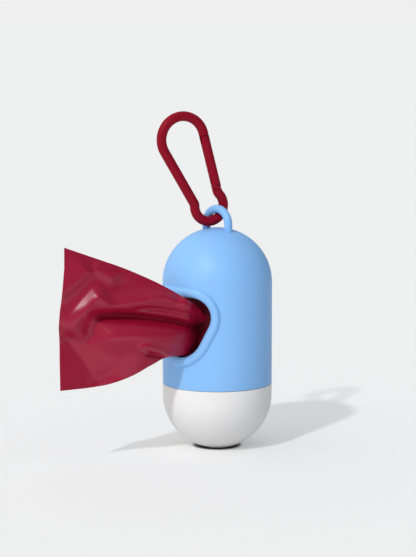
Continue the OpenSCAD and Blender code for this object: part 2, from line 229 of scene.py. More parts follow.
class Graph:
    """The node tree of one material or of the world, built node by node."""

    def __init__(self, owner: bpy.types.Material | bpy.types.World) -> None:
        """Empty the owner's tree and give it its output."""
        self.owner = owner
        owner.use_nodes = True
        self.tree = owner.node_tree
        self.tree.nodes.clear()
        kind = "World" if isinstance(owner, bpy.types.World) else "Material"
        self.output = self.tree.nodes.new("ShaderNodeOutput" + kind)

    def add(
        self, kind: str, values: dict[str | int, object] | None = None, **settings: object,
    ) -> bpy.types.Node:
        """Add a node.

        Args:
            kind: Blender's name of the node type.
            values: Input name or number to a value, or to an output that is linked to it.
            settings: Properties of the node itself.

        Returns:
            The new node.
        """
        node = self.tree.nodes.new(kind)
        for key, value in settings.items():
            setattr(node, key, value)
        for key, value in (values or {}).items():
            socket = node.inputs[key]
            if isinstance(value, bpy.types.NodeSocket):
                self.tree.links.new(value, socket)
            else:
                socket.default_value = value
        return node

    def compute(self, operation: str, *values: object) -> bpy.types.NodeSocket:
        """The result of a math node on these numbers or outputs."""
        inputs = dict(enumerate(values))
        return self.add("ShaderNodeMath", inputs, operation=operation).outputs[0]

    def place(self, scale: Triple = (1.0, 1.0, 1.0)) -> bpy.types.NodeSocket:
        """The piece's own coordinates in metres, stretched by a scale."""
        where = self.add("ShaderNodeTexCoord").outputs["Object"]
        return self.add("ShaderNodeMapping", {"Vector": where, "Scale": scale}).outputs[0]

    def noise(
        self, scale: float, detail: float, place: bpy.types.NodeSocket, rough: float = 0.5,
    ) -> bpy.types.NodeSocket:
        """A noise value between 0 and 1 with that many grains in a metre."""
        values = {"Vector": place, "Scale": scale, "Detail": detail, "Roughness": rough}
        return self.add("ShaderNodeTexNoise", values).outputs["Fac"]

    def spread(self, value: bpy.types.NodeSocket, low: float, high: float) -> bpy.types.NodeSocket:
        """Spread the middle of a noise over the range from low to high."""
        values = {"Value": value, "From Min": 0.3, "From Max": 0.7, "To Min": low, "To Max": high}
        return self.add("ShaderNodeMapRange", values).outputs[0]

    def tint(
        self, value: bpy.types.NodeSocket, dark: Colour, light: Colour,
    ) -> bpy.types.NodeSocket:
        """Mix two colours by a value between 0 and 1."""
        values = {"Factor": value, MIX_DARK: (*dark, 1), MIX_LIGHT: (*light, 1)}
        return self.add("ShaderNodeMix", values, data_type="RGBA").outputs[MIX_RESULT]

    def bump(
        self, height: bpy.types.NodeSocket, depth: float, strength: float,
        under: bpy.types.NodeSocket | None = None,
    ) -> bpy.types.NodeSocket:
        """Turn a height into a normal.

        Args:
            height: Value between 0 and 1.
            depth: Height in metres that 1 stands for.
            strength: Share of the effect that is kept.
            under: A normal that this one is laid over.

        Returns:
            The normal.
        """
        values: dict[str, object] = {"Height": height, "Distance": depth, "Strength": strength}
        if under is not None:
            values["Normal"] = under
        return self.add("ShaderNodeBump", values).outputs[0]

    def close(self, surface: bpy.types.NodeSocket) -> bpy.types.Material | bpy.types.World:
        """Link a surface to the output and return what the tree belongs to."""
        self.tree.links.new(surface, self.output.inputs["Surface"])
        return self.owner

    def finish(self, values: dict[str, object]) -> bpy.types.Material:
        """Close the tree with a surface of these values and return the material."""
        return self.close(self.add("ShaderNodeBsdfPrincipled", values).outputs[0])


def shade(colour: Colour, factor: float) -> Colour:
    """A colour made darker or lighter by a factor."""
    return tuple(min(1.0, part * factor) for part in colour)


class Finish(ABC):
    """A finish that pieces are dressed in."""

    @abstractmethod
    def material(self) -> bpy.types.Material:
        """Make the finish's material."""


@dataclass(frozen=True)
class MouldedPlastic(Finish):
    """Injection-moulded plastic from a finely eroded mould.

    Attributes:
        name: Name of the material.
        colour: Its colour, linear.
        roughness: Middle of its roughness.
        gloss: Level of its mirror-like part.
        grain: Width of a grain of the mould's texture, in metres.
        grain_depth: Depth of that texture, in metres.
        flow: Share by which the colour varies with the flow of the plastic.
        flow_marks: Flow marks in a metre.
        waves: Long waves in a metre.
        wave_depth: Depth of those waves, in metres.
        uneven: Change of the roughness to each side.
    """

    name: str
    colour: Colour
    roughness: float = 0.5
    gloss: float = 0.5
    grain: float = 0.45 * MM
    grain_depth: float = 0.012 * MM
    flow: float = 0.025
    flow_marks: float = 55.0
    waves: float = 90.0
    wave_depth: float = 0.08 * MM
    uneven: float = 0.05

    def material(self) -> bpy.types.Material:
        """Make the plastic: flow marks, a matte grain and a soft long wave."""
        graph = Graph(bpy.data.materials.new(self.name))
        place = graph.place()
        flow = graph.noise(self.flow_marks, 2, place)
        grain = graph.noise(1 / self.grain, 3, place, 0.6)
        wave = graph.noise(self.waves, 1, place)
        dark, light = shade(self.colour, 1 - self.flow), shade(self.colour, 1 + self.flow)
        colour = graph.tint(flow, dark, light)
        long_wave = graph.bump(wave, self.wave_depth, 0.25)
        normal = graph.bump(grain, self.grain_depth, 0.6, long_wave)
        least, most = self.roughness - self.uneven, self.roughness + self.uneven
        return graph.finish({
            "Base Color": colour,
            "Roughness": graph.spread(grain, least, most),
            "IOR": 1.47,
            "Specular IOR Level": self.gloss,
            "Normal": normal,
        })


@dataclass(frozen=True)
class SoftCoating(Finish):
    """A thin matte coating on bent metal bar.

    Attributes:
        name: Name of the material.
        colour: Its colour, linear.
        roughness: Middle of its roughness.
        peel: Width of the coating's orange peel, in metres.
        peel_depth: Depth of the orange peel, in metres.
        gloss: Level of its mirror-like part.
        runs: Thicker and thinner spots in a metre.
        dust: Grains of dust in a metre.
        dust_depth: Depth of the dust, in metres.
        uneven: Change of the roughness to each side.
    """

    name: str
    colour: Colour
    roughness: float = 0.42
    peel: float = 0.9 * MM
    peel_depth: float = 0.02 * MM
    gloss: float = 0.08
    runs: float = 120.0
    dust: float = 4200.0
    dust_depth: float = 0.006 * MM
    uneven: float = 0.05

    def material(self) -> bpy.types.Material:
        """Make the coating: orange peel, fine dust and a little variation in thickness."""
        graph = Graph(bpy.data.materials.new(self.name))
        place = graph.place()
        thick = graph.noise(self.runs, 2, place)
        peel = graph.noise(1 / self.peel, 2, place)
        dust = graph.noise(self.dust, 2, place, 0.7)
        under = graph.bump(peel, self.peel_depth, 0.5)
        normal = graph.bump(dust, self.dust_depth, 0.5, under)
        least, most = self.roughness - self.uneven, self.roughness + self.uneven
        return graph.finish({
            "Base Color": graph.tint(thick, shade(self.colour, 0.93), shade(self.colour, 1.07)),
            "Roughness": graph.spread(dust, least, most),
            "IOR": 1.5,
            "Specular IOR Level": self.gloss,
            "Normal": normal,
        })


@dataclass(frozen=True)
class BareSteel(Finish):
    """Bright steel with fine drawn lines.

    Attributes:
        name: Name of the material.
        colour: Its colour, linear.
        roughness: Middle of its roughness.
        lines: Drawn lines in a metre.
        line_depth: Depth of those lines, in metres.
        spots: Dull spots in a metre.
    """

    name: str
    colour: Colour = (0.62, 0.61, 0.6)
    roughness: float = 0.28
    lines: float = 3000.0
    line_depth: float = 0.008 * MM
    spots: float = 1500.0

    def material(self) -> bpy.types.Material:
        """Make the steel: drawn lines, a few dull spots and a slight tarnish."""
        graph = Graph(bpy.data.materials.new(self.name))
        lines = graph.noise(self.lines, 3, graph.place((1, 1, 0.08)), 0.6)
        spots = graph.noise(self.spots, 2, graph.place())
        return graph.finish({
            "Base Color": graph.tint(spots, shade(self.colour, 0.82), shade(self.colour, 1.05)),
            "Metallic": 1.0,
            "Roughness": graph.spread(spots, self.roughness - 0.06, self.roughness + 0.12),
            "Normal": graph.bump(lines, self.line_depth, 0.4),
        })


@dataclass(frozen=True)
class WoundPaper(Finish):
    """Grey-brown core board, wound from strips.

    Attributes:
        name: Name of the material.
        colour: Its colour, linear.
        strip: Height of one turn of the paper strip, in metres.
        joint_depth: Depth of the joint between two turns, in metres.
        fibres: Fibres in a metre.
        fibre_depth: Height of a fibre, in metres.
        flecks: Flecks in a metre.
    """

    name: str
    colour: Colour = (0.42, 0.31, 0.2)
    strip: float = 14 * MM
    joint_depth: float = 0.06 * MM
    fibres: float = 900.0
    fibre_depth: float = 0.05 * MM
    flecks: float = 2600.0

    def material(self) -> bpy.types.Material:
        """Make the board: fibres, flecks and the joint of the wound strips."""
        graph = Graph(bpy.data.materials.new(self.name))
        place = graph.place()
        fibres = graph.noise(self.fibres, 4, graph.place((1, 1, 0.2)), 0.65)
        flecks = graph.noise(self.flecks, 2, place, 0.7)
        winding = graph.add(
            "ShaderNodeTexWave",
            {"Vector": place, "Scale": 0.5 / self.strip, "Distortion": 0.4, "Detail": 1.0},
            wave_type="BANDS", bands_direction="Z", wave_profile="SAW",
        ).outputs["Fac"]
        under = graph.bump(winding, self.joint_depth, 0.6)
        return graph.finish({
            "Base Color": graph.tint(fibres, shade(self.colour, 0.8), shade(self.colour, 1.15)),
            "Roughness": graph.spread(flecks, 0.78, 0.94),
            "Specular IOR Level": 0.25,
            "Normal": graph.bump(fibres, self.fibre_depth, 0.7, under),
        })


class FilmGrain(Enum):
    """Which way the film's draw lines run on a piece."""

    ALONG_STRIP = "strip"
    ROUND_ROLL = "roll"


@dataclass(frozen=True)
class BagFilm(Finish):
    """Thin satin film, drawn out in one direction.

    Attributes:
        name: Name of the material.
        colour: Its colour, linear.
        grain: Which way the draw lines run.
        roughness: Middle of its roughness.
        wrinkle_depth: Depth of the soft crumple in the film, in metres.
        gloss: Level of its mirror-like part.
        drawn_depth: Depth of the draw lines, in metres.
        crumples: Soft crumples in a metre.
        patches: Thicker and thinner patches in a metre.
        uneven: Change of the roughness to each side.
    """

    name: str
    colour: Colour
    grain: FilmGrain = FilmGrain.ALONG_STRIP
    roughness: float = 0.3
    wrinkle_depth: float = 0.15 * MM
    gloss: float = 0.24
    drawn_depth: float = 0.004 * MM
    crumples: float = 150.0
    patches: float = 70.0
    uneven: float = 0.02

    def material(self) -> bpy.types.Material:
        """Make the film: draw lines, soft crumple, uneven thickness and a satin gloss."""
        graph = Graph(bpy.data.materials.new(self.name))
        place = graph.place()
        if self.grain is FilmGrain.ALONG_STRIP:
            where = graph.add("ShaderNodeUVMap", uv_map="UVMap").outputs[0]
            values = {"Vector": where, "Scale": (5.0, 60.0, 1.0)}
            drawn = graph.noise(2.5, 3, graph.add("ShaderNodeMapping", values).outputs[0], 0.6)
        else:
            drawn = graph.noise(900, 3, graph.place((0.06, 0.06, 1)), 0.6)
        crumple = graph.noise(self.crumples, 2, place, 0.45)
        thick = graph.noise(self.patches, 2, place)
        under = graph.bump(crumple, self.wrinkle_depth, 0.35)
        least, most = self.roughness - self.uneven, self.roughness + self.uneven
        return graph.finish({
            "Base Color": graph.tint(thick, shade(self.colour, 0.92), shade(self.colour, 1.08)),
            "Roughness": graph.spread(drawn, least, most),
            "IOR": 1.5,
            "Specular IOR Level": self.gloss,
            "Normal": graph.bump(drawn, self.drawn_depth, 0.1, under),
        })


@dataclass(frozen=True)
class Palette:
    """The finishes of the whole dispenser."""

    shell: Finish = MouldedPlastic("shell_plastic", (0.235, 0.5, 0.9), 0.5)
    cup: Finish = MouldedPlastic("cup_plastic", (0.825, 0.82, 0.82), 0.5, gloss=0.25)
    coat: Finish = SoftCoating("bar_coating", (0.262, 0.004, 0.017))
    steel: Finish = BareSteel("pin_steel")
    pin_end: Finish = BareSteel("coated_pin_steel", (0.2, 0.012, 0.022), 0.42)
    board: Finish = WoundPaper("core_board")
    film: Finish = BagFilm("bag_film", (0.302, 0.005, 0.032))
    # The wound film is far darker than the pulled film: partly the deeper colour of many layers,
    # partly painted shade of the capsule's dark inside.
    wound: Finish = BagFilm(
        "wound_film", (0.09, 0.002, 0.01), FilmGrain.ROUND_ROLL, 0.45, 0.08 * MM, gloss=0.06,
    )


# ---------- the rigid pieces ----------


@dataclass
class CarriedPiece:
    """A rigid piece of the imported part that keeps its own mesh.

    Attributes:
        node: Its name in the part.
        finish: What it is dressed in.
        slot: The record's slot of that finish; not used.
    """

    node: str
    finish: bpy.types.Material
    slot: str

    def build(self, nodes: dict[str, bpy.types.Object]) -> bpy.types.Object:
        """Dress the piece and return it."""
        piece = nodes[self.node]
        dress(piece, self.finish)
        return piece


@dataclass
class Port:
    """The bag port's rounded lip, laid as one smooth bead on the capsule's wall.

    Attributes:
        wall_r: Outside radius of the wall.
        corner: Sideways place and height of the upper corners' centre.
        corner_r: Radius of the upper corners at the opening.
        base_z: Height of the centre of the round lower end.
        base_r: Radius of the lower end at the opening.
        side_turn: Angle, in degrees, where a corner runs into the slanting side.
        profile: The bead's section: distance from the opening and height on the wall.
        around: Number of cells around the port.
        across: Number of cells round the section.
    """

    wall_r: float = 22.5 * MM
    corner: Point = (7 * MM, 56.4 * MM)
    corner_r: float = 7.9 * MM
    base_z: float = 51.05 * MM
    base_r: float = 11.65 * MM
    side_turn: float = -27.4
    profile: Sequence[Point] = (
        (0.0, -1.0), (0.02, -0.3), (0.22, 0.42), (0.62, 0.96), (1.2, 1.32), (1.9, 1.45),
        (2.6, 1.34), (3.2, 1.0), (3.66, 0.5), (3.93, -0.1), (3.9, -0.6), (2.4, -1.1),
        (0.6, -1.3),
    )
    around: int = 240
    across: int = 52

    def outline(self, share: np.ndarray, out: np.ndarray) -> tuple[np.ndarray, np.ndarray]:
        """Places on the unrolled wall.

        Args:
            share: Share of the way round the port, 0 to 1.
            out: Distance outside the opening, in metres.

        Returns:
            Sideways place and height.
        """
        turn = math.radians(self.side_turn)
        side = math.hypot(self.corner[0], self.corner[1] - self.base_z)
        lean = math.sqrt(side ** 2 - (self.base_r - self.corner_r) ** 2)
        bend, belly = math.pi / 2 - turn, math.pi + 2 * turn
        right, left = self.corner[0], -self.corner[0]
        top, base = (self.corner[1], self.corner_r), (self.base_z, self.base_r)
        # Length, first angle and turn of each stretch, then the sideways place, height and
        # radius of its circle at its start and at its end.
        stretches = np.array([
            (self.corner_r * bend, turn, bend, right, *top, right, *top),
            (2 * right, math.pi / 2, 0, right, *top, left, *top),
            (self.corner_r * bend, math.pi / 2, bend, left, *top, left, *top),
            (lean, math.pi - turn, 0, left, *top, 0, *base),
            (self.base_r * belly, math.pi - turn, belly, 0, *base, 0, *base),
            (lean, turn, 0, 0, *base, right, *top),
        ])
        lengths = stretches[:, 0]
        ends = np.cumsum(lengths)
        begins = np.concatenate(([0.0], ends[:-1]))
        along = np.mod(share, 1.0) * ends[-1]
        part = np.clip(np.searchsorted(ends, along, side="right"), 0, len(stretches) - 1)
        local = (along - begins[part]) / lengths[part]
        _, first, sweep, *circles = stretches[part].T
        angle = first + sweep * local
        centre, height, radius = (
            start + (end - start) * local for start, end in zip(circles[:3], circles[3:])
        )
        return centre + (radius + out) * np.cos(angle), height + (radius + out) * np.sin(angle)

    def section(self, share: np.ndarray) -> tuple[np.ndarray, np.ndarray]:
        """The bead's section as a smooth closed curve, from a share of its points, 0 to 1."""
        points = np.array(self.profile) * MM
        count = len(points)
        at = np.mod(share, 1.0) * count
        cell = np.floor(at).astype(int)
        near = (points[(cell + step) % count] for step in (-1, 0, 1, 2))
        curve = cubic(*near, (at - cell)[:, None])
        return curve[:, 0], curve[:, 1]

    def point(self, along: np.ndarray, across: np.ndarray) -> np.ndarray:
        """Places of the bead's surface in the part's frame."""
        out, height = self.section(across)
        side, up = self.outline(along, out)
        turn = side / self.wall_r
        radius = self.wall_r + height
        return np.column_stack((radius * np.sin(turn), -radius * np.cos(turn), up))

    def build(self, finish: bpy.types.Material) -> bpy.types.Object:
        """Model the bead in the shell's finish and return it."""
        piece = wrapped_grid("port_lip", self.around, self.across, self.point, weld=WELD)
        dress(piece, finish)
        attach(piece, "housing")
        return piece


# ---------- film ----------


def curve_through(points: Sequence[Point], pieces: int = 8) -> np.ndarray:
    """A smooth line through some points, with that many pieces from each to the next."""
    given = np.array(points, dtype=float)
    if len(given) < 3:
        return given
    ends = np.vstack((2 * given[0] - given[1], given, 2 * given[-1] - given[-2]))
    near = (ends[step:len(ends) - 3 + step, None] for step in range(4))
    curve = cubic(*near, (np.arange(pieces) / pieces)[None, :, None])
    return np.vstack((curve.reshape(-1, 2), given[-1]))


def soften(height: np.ndarray, times: int) -> np.ndarray:
    """Round off a grid of heights by that many light blurs."""
    for _ in range(times):
        for axis in (0, 1):
            wide = np.concatenate((height.take([0], axis), height, height.take([-1], axis)), axis)
            near = np.arange(height.shape[axis])
            height = (wide.take(near, axis) + 2 * height + wide.take(near + 2, axis)) / 4
    return height


@dataclass(frozen=True)
class Fold:
    """One fold of the film, as a stroke on the strip.

    Attributes:
        stroke: Points along the fold: distance from the roll and height, in millimetres.
        rise: Height at its middle, in millimetres, towards the side away from the roll.
        left: Half width on the left of the stroke, seen along it, in millimetres.
        right: Half width on its right, in millimetres.
        sharp: 0 for a round swell, 1 for a pinched crease with flat flanks.
        fade: Length over which each end runs out, in millimetres.
    """

    stroke: Sequence[Point]
    rise: float
    left: float
    right: float
    sharp: float = 0.0
    fade: float = 4.0

    def height(self, along: np.ndarray, up: np.ndarray) -> np.ndarray:
        """The fold's height, in millimetres, at places on the strip in millimetres."""
        line = curve_through(self.stroke)
        best = np.full(along.shape, np.inf)
        side = np.zeros(along.shape)
        run = np.zeros(along.shape)
        length = 0.0
        for (t0, z0), (t1, z1) in zip(line, line[1:]):
            dt, dz = t1 - t0, z1 - z0
            size = math.hypot(dt, dz)
            share = np.clip(((along - t0) * dt + (up - z0) * dz) / size ** 2, 0, 1)
            off_t, off_z = along - t0 - share * dt, up - z0 - share * dz
            distance = np.hypot(off_t, off_z)
            nearer = distance < best
            best = np.where(nearer, distance, best)
            turned = (dt * off_z - dz * off_t) / (size * np.maximum(distance, TINY))
            side = np.where(nearer, turned, side)
            run = np.where(nearer, length + share * size, run)
            length += size
        reach = best / (self.right + (self.left - self.right) * (0.5 + 0.5 * side))
        swell, crease = np.exp(-reach ** 2), np.clip(1 - reach, 0, 1)
        ends = np.clip(run / self.fade, 0, 1) * np.clip((length - run) / self.fade, 0, 1)
        ends = ends * ends * (3 - 2 * ends)
        return self.rise * ends * (swell * (1 - self.sharp) + crease * self.sharp)


@dataclass
class PulledBag:
    """The first bag, led from the roll through the port and out to its torn edge.

    Attributes:
        leave: Where the strip leaves the roll, in plan, in millimetres.
        turn: Direction square to the strip there, in degrees.
        lap: Length of strip that still lies on the roll, in millimetres.
        reach: Distance of the torn edge from where the strip leaves the roll.
        flat: Width and length of the strip before it was gathered; not used.
        film: Thickness of the folded film.
        lower: Height of the lower edge along the strip.
        upper: Height of the upper edge along the strip.
        edge: Distance of the torn edge by height.
        bow: How far the middle of the strip bows out, along the strip.
        drop: How far the lower edge drops back, to lie in the port's round lower end.
        pleat: Depth of the narrow pleats between the roll and the port.
        pleats: Number of those pleats across the strip.
        lean: Shift along the strip and upwards of what stands out by 1.
        space: Least and greatest distance from the roll's axis inside the capsule.
        dip: How far the strip stands out as it turns in at the port.
        folds: The folds, largest first.
        blurs: Light blurs that round the folds off.
        rises: Distances over which the folds come in.
        leans: Distance over which the lean comes in.
        wall: Distance at which the strip has passed the capsule's wall.
        ties: Distances of the ends of the stretch between the capsule and the bag; not used.
        tie_z: Height of those ends; not used.
        columns: Number of cells along the strip.
        rows: Number of cells up the strip.
    """

    leave: Point = (14.9, -5.54)
    turn: float = -20.4
    lap: float = 20.0
    reach: float = 75.0
    flat: Point = (60 * MM, 92 * MM)
    film: float = 0.1 * MM
    lower: Table = (
        (-20, 9.5), (-8, 20), (0, 32), (8, 41.2), (12, 42.8), (20, 41.6), (29, 41.4),
        (36.3, 38.7), (44.4, 35.1), (51.9, 32.9), (57.7, 31.9), (65.6, 31.4), (75, 31.3),
    )
    upper: Table = (
        (-20, 67), (-8, 64.5), (0, 60.5), (8, 56.6), (11, 56.2), (16, 61), (19.4, 63.4),
        (22.7, 65.4), (30.3, 69.8), (37.8, 73.5), (48.4, 78.1), (60, 82.3), (75, 87.6),
    )
    edge: Table = (
        (31, 75.0), (43.6, 75.3), (55.5, 75.4), (63, 74.7), (71, 73.4), (80, 72.7), (89, 72.8),
    )
    bow: Table = ((-20, 0), (10, 0), (22, 1.2), (30, 1.2), (60, 0), (75, 0))
    drop: Table = ((-20, 0), (7, 0), (10, 2), (14, 6), (20, 6), (42, 0), (75, 0))
    pleat: Table = (
        (-20, 0.2), (-12, 1.4), (-6, 2.8), (1, 2.8), (5, 1.4), (9, 0.3), (12, 0), (75, 0),
    )
    pleats: int = 8
    lean: Point = (0.458, 0.144)
    space: Point = (15.8, 20.4)
    dip: Table = (
        (-20, 0), (0, 0), (6, -1.5), (10, -3.7), (12.5, -4.8), (15, -4.9), (17.5, -2.7),
        (20, -0.5), (22, 0), (75, 0),
    )
    folds: Sequence[Fold] = (
        Fold(((63, 46), (54, 50.8), (42, 51), (30, 49), (15, 47)), 4.0, 5.5, 5.6, fade=14),
        Fold(((66, 40), (45, 41.5), (20, 43)), 1.2, 7, 7, fade=8),
        Fold(
            ((64, 60.4), (54, 60.1), (44.3, 58.9), (28, 55.9), (18.3, 53.2), (9, 50.5)),
            -4.8, 2.6, 1.8, 0.45, 7,
        ),
        Fold(((62.6, 61), (62.8, 55), (60.8, 49)), -1.5, 3.2, 2.6, 0, 4),
        Fold(
            ((60, 62.5), (50, 64), (40, 64.8), (30, 65.2), (20, 61.8), (10, 57)),
            2.6, 3.4, 4.5, 0.1, 6,
        ),
        Fold(((54, 72), (44, 70.5), (30, 67.8), (20, 64)), -1.3, 3, 6, 0.2, 6),
        Fold(((54.5, 70.8), (62.2, 63.4), (68.4, 56.2), (71, 51)), 3.8, 5.1, 5.4, 0.5, 5),
        Fold(((61.3, 79.9), (66, 75.5), (71, 71.6), (76, 68.5)), 2.0, 8, 3.0, 0.4, 3),
        Fold(((50, 73.4), (57, 77.2), (61.6, 80.2)), 0.9, 3.6, 2.6, 0.4, 3),
        Fold(
            ((77, 58.5), (73.2, 52.4), (67.1, 44.6), (58.8, 33), (55, 27)), -4.4, 18, 15, 0.8, 9,
        ),
        Fold(((46, 61.4), (37.3, 61.6), (28.1, 60.1), (14, 57)), -1.0, 1.6, 1.3, 0.5, 5),
        Fold(((38, 65.6), (31, 66.2), (25, 63.6)), 0.7, 1.4, 2.5, 0.4, 3),
        Fold(((43, 45.6), (37, 46.0), (31, 43.4), (26, 41.4)), 1.4, 0.9, 1.6, 0.2, 3),
        Fold(((40, 44.2), (35, 43.0), (29.5, 41.5)), -2.0, 1.3, 0.9, 0.5, 3),
        Fold(
            ((76, 88.4), (60, 83.0), (48.4, 78.7), (37.8, 74.1), (22, 66)),
            -1.0, 2.6, 2.2, fade=1,
        ),
    )
    blurs: int = 3
    rises: Point = (-2.0, 10.0)
    leans: float = 16.0
    wall: float = 11.5
    ties: Point = (6.0, 28.0)
    tie_z: float = 52.0
    columns: int = 260
    rows: int = 172

    def point(self, along: np.ndarray, across: np.ndarray) -> np.ndarray:
        """Places of the film's middle in the part's frame, in metres."""
        base = -self.lap + (self.reach + self.lap) * along
        low, high = smooth_table(base, self.lower), smooth_table(base, self.upper)
        up = low + (high - low) * across
        stretch = ramp(up, self.edge) / self.reach
        longer = 1 + (stretch - 1) * np.clip(base / self.reach, 0, 1)
        distance = np.where(base > 0, base * longer, base)
        height = self.height(distance, up, across)
        radius = math.hypot(*self.leave)
        turn = math.radians(self.turn) + np.where(distance < 0, -distance, 0) / radius
        pull = math.radians(self.turn) - math.pi / 2
        free = np.clip(distance / self.leans, 0, 1)
        run = np.maximum(distance, 0) + self.lean[0] * free * height
        x = (radius + height) * np.cos(turn) + run * math.cos(pull)
        y = (radius + height) * np.sin(turn) + run * math.sin(pull)
        return np.column_stack((x, y, up + self.lean[1] * free * height)) * MM

    def height(self, distance: np.ndarray, up: np.ndarray, across: np.ndarray) -> np.ndarray:
        """How far the strip stands out of its flat plane, in millimetres."""
        first, full = self.rises
        risen = np.clip((distance - first) / (full - first), 0, 1)
        folds = sum(fold.height(distance, up) for fold in self.folds) * risen
        folds = soften(folds.reshape(self.rows + 1, self.columns + 1), self.blurs).ravel()
        bow = smooth_table(distance, self.bow) * np.sin(math.pi * across)
        drop = smooth_table(distance, self.drop) * (1 - across) ** 1.5
        folds = folds + smooth_table(distance, self.dip)
        pleat = 0.5 - 0.5 * np.cos(2 * math.pi * self.pleats * across)
        height = folds + bow - drop + smooth_table(distance, self.pleat) * pleat
        radius = math.hypot(*self.leave)
        away = np.maximum(distance, 0) ** 2
        least, most = (
            np.sqrt(np.clip(limit ** 2 - away, 0, None)) - radius for limit in self.space
        )
        inside = distance < self.wall
        return np.where(inside, np.clip(height, least, most), np.maximum(height, least))

    def build(self, finish: bpy.types.Material) -> bpy.types.Object:
        """Model the bag, give it its thickness and hide the part's film pieces that it stands in
        for.
        """
        piece = wrapped_grid("pulled_bag", self.columns, self.rows, self.point)
        dress(piece, finish)
        thick = piece.modifiers.new("film_thickness", "SOLIDIFY")
        thick.thickness = self.film
        thick.offset = 0
        make_active(piece)
        bpy.ops.object.modifier_apply(modifier=thick.name)
        bpy.ops.object.shade_smooth()
        self.join_bodies(piece)
        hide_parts("film_lead", "bag_tail")
        return piece

    def join_bodies(self, piece: bpy.types.Object) -> None:
        """Bake the strip's place into its mesh."""
        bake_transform(piece)


@dataclass
class BagRoll:
    """The wound strip of bags on its core.

    Attributes:
        outer_r: Outside radius of the winding.
        inner_r: Radius of its bore.
        foot_z: Height of its lower face.
        width: Width of the strip.
        turns: Turns of film that show on the end faces.
        step: Depth of the line between two turns.
        lap: One turn on an end face: shares of its thickness and of that depth.
        crease: Angle, in degrees, above which an edge is drawn sharp.
        walls: Number of cells up the outside and up the bore.
        around: Number of cells round the roll.
    """

    outer_r: float = 15.5 * MM
    inner_r: float = 6.56 * MM
    foot_z: float = 8.3 * MM
    width: float = 60 * MM
    turns: int = 22
    step: float = 0.14 * MM
    lap: Table = ((0.12, 0.0), (0.5, 0.25), (0.88, 0.0), (1.0, 1.0))
    crease: float = 38.0
    walls: int = 20
    around: int = 144

    def section(self) -> np.ndarray:
        """The roll's section, as points of radius and height."""
        pitch = (self.outer_r - self.inner_r) / self.turns
        low, high = self.foot_z, self.foot_z + self.width
        face = [
            (self.inner_r + turn * pitch + share * pitch, depth)
            for turn in range(self.turns) for share, depth in self.lap
        ][:-1]
        lower = [(r, low + depth * self.step) for r, depth in face]
        upper = [(r, high - depth * self.step) for r, depth in reversed(face)]
        rises = [self.width * i / self.walls for i in range(1, self.walls)]
        outside = [(self.outer_r, low + rise) for rise in rises]
        inside = [(self.inner_r, high - rise) for rise in rises]
        return np.array(lower + outside + upper + inside)

    def point(self, along: np.ndarray, across: np.ndarray) -> np.ndarray:
        """Places of the roll's surface in the part's frame."""
        points = self.section()
        index = np.rint(across * len(points)).astype(int) % len(points)
        radius, height = points[index, 0], points[index, 1]
        turn = 2 * math.pi * along
        drift = np.where(radius < self.outer_r - 0.1 * MM, 1.0, 0.0)
        pitch = (self.outer_r - self.inner_r) / self.turns
        # A little less than a whole turn's thickness, so that no two turns meet.
        inwards = drift * pitch * np.mod(along, 1.0) * 0.999
        wound = np.clip(radius - inwards, self.inner_r, self.outer_r)
        return np.column_stack((wound * np.cos(turn), wound * np.sin(turn), height))

    def build(self, finish: bpy.types.Material) -> bpy.types.Object:
        """Model the roll and let it turn with the wound film."""
        cells = len(self.section())
        piece = wrapped_grid("bag_roll_wound", self.around, cells, self.point, weld=WELD)
        make_active(piece)
        bpy.ops.object.shade_smooth_by_angle(angle=math.radians(self.crease))
        dress(piece, finish)
        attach(piece, "roll")
        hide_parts("bag_roll")
        return piece


# ---------- studio ----------


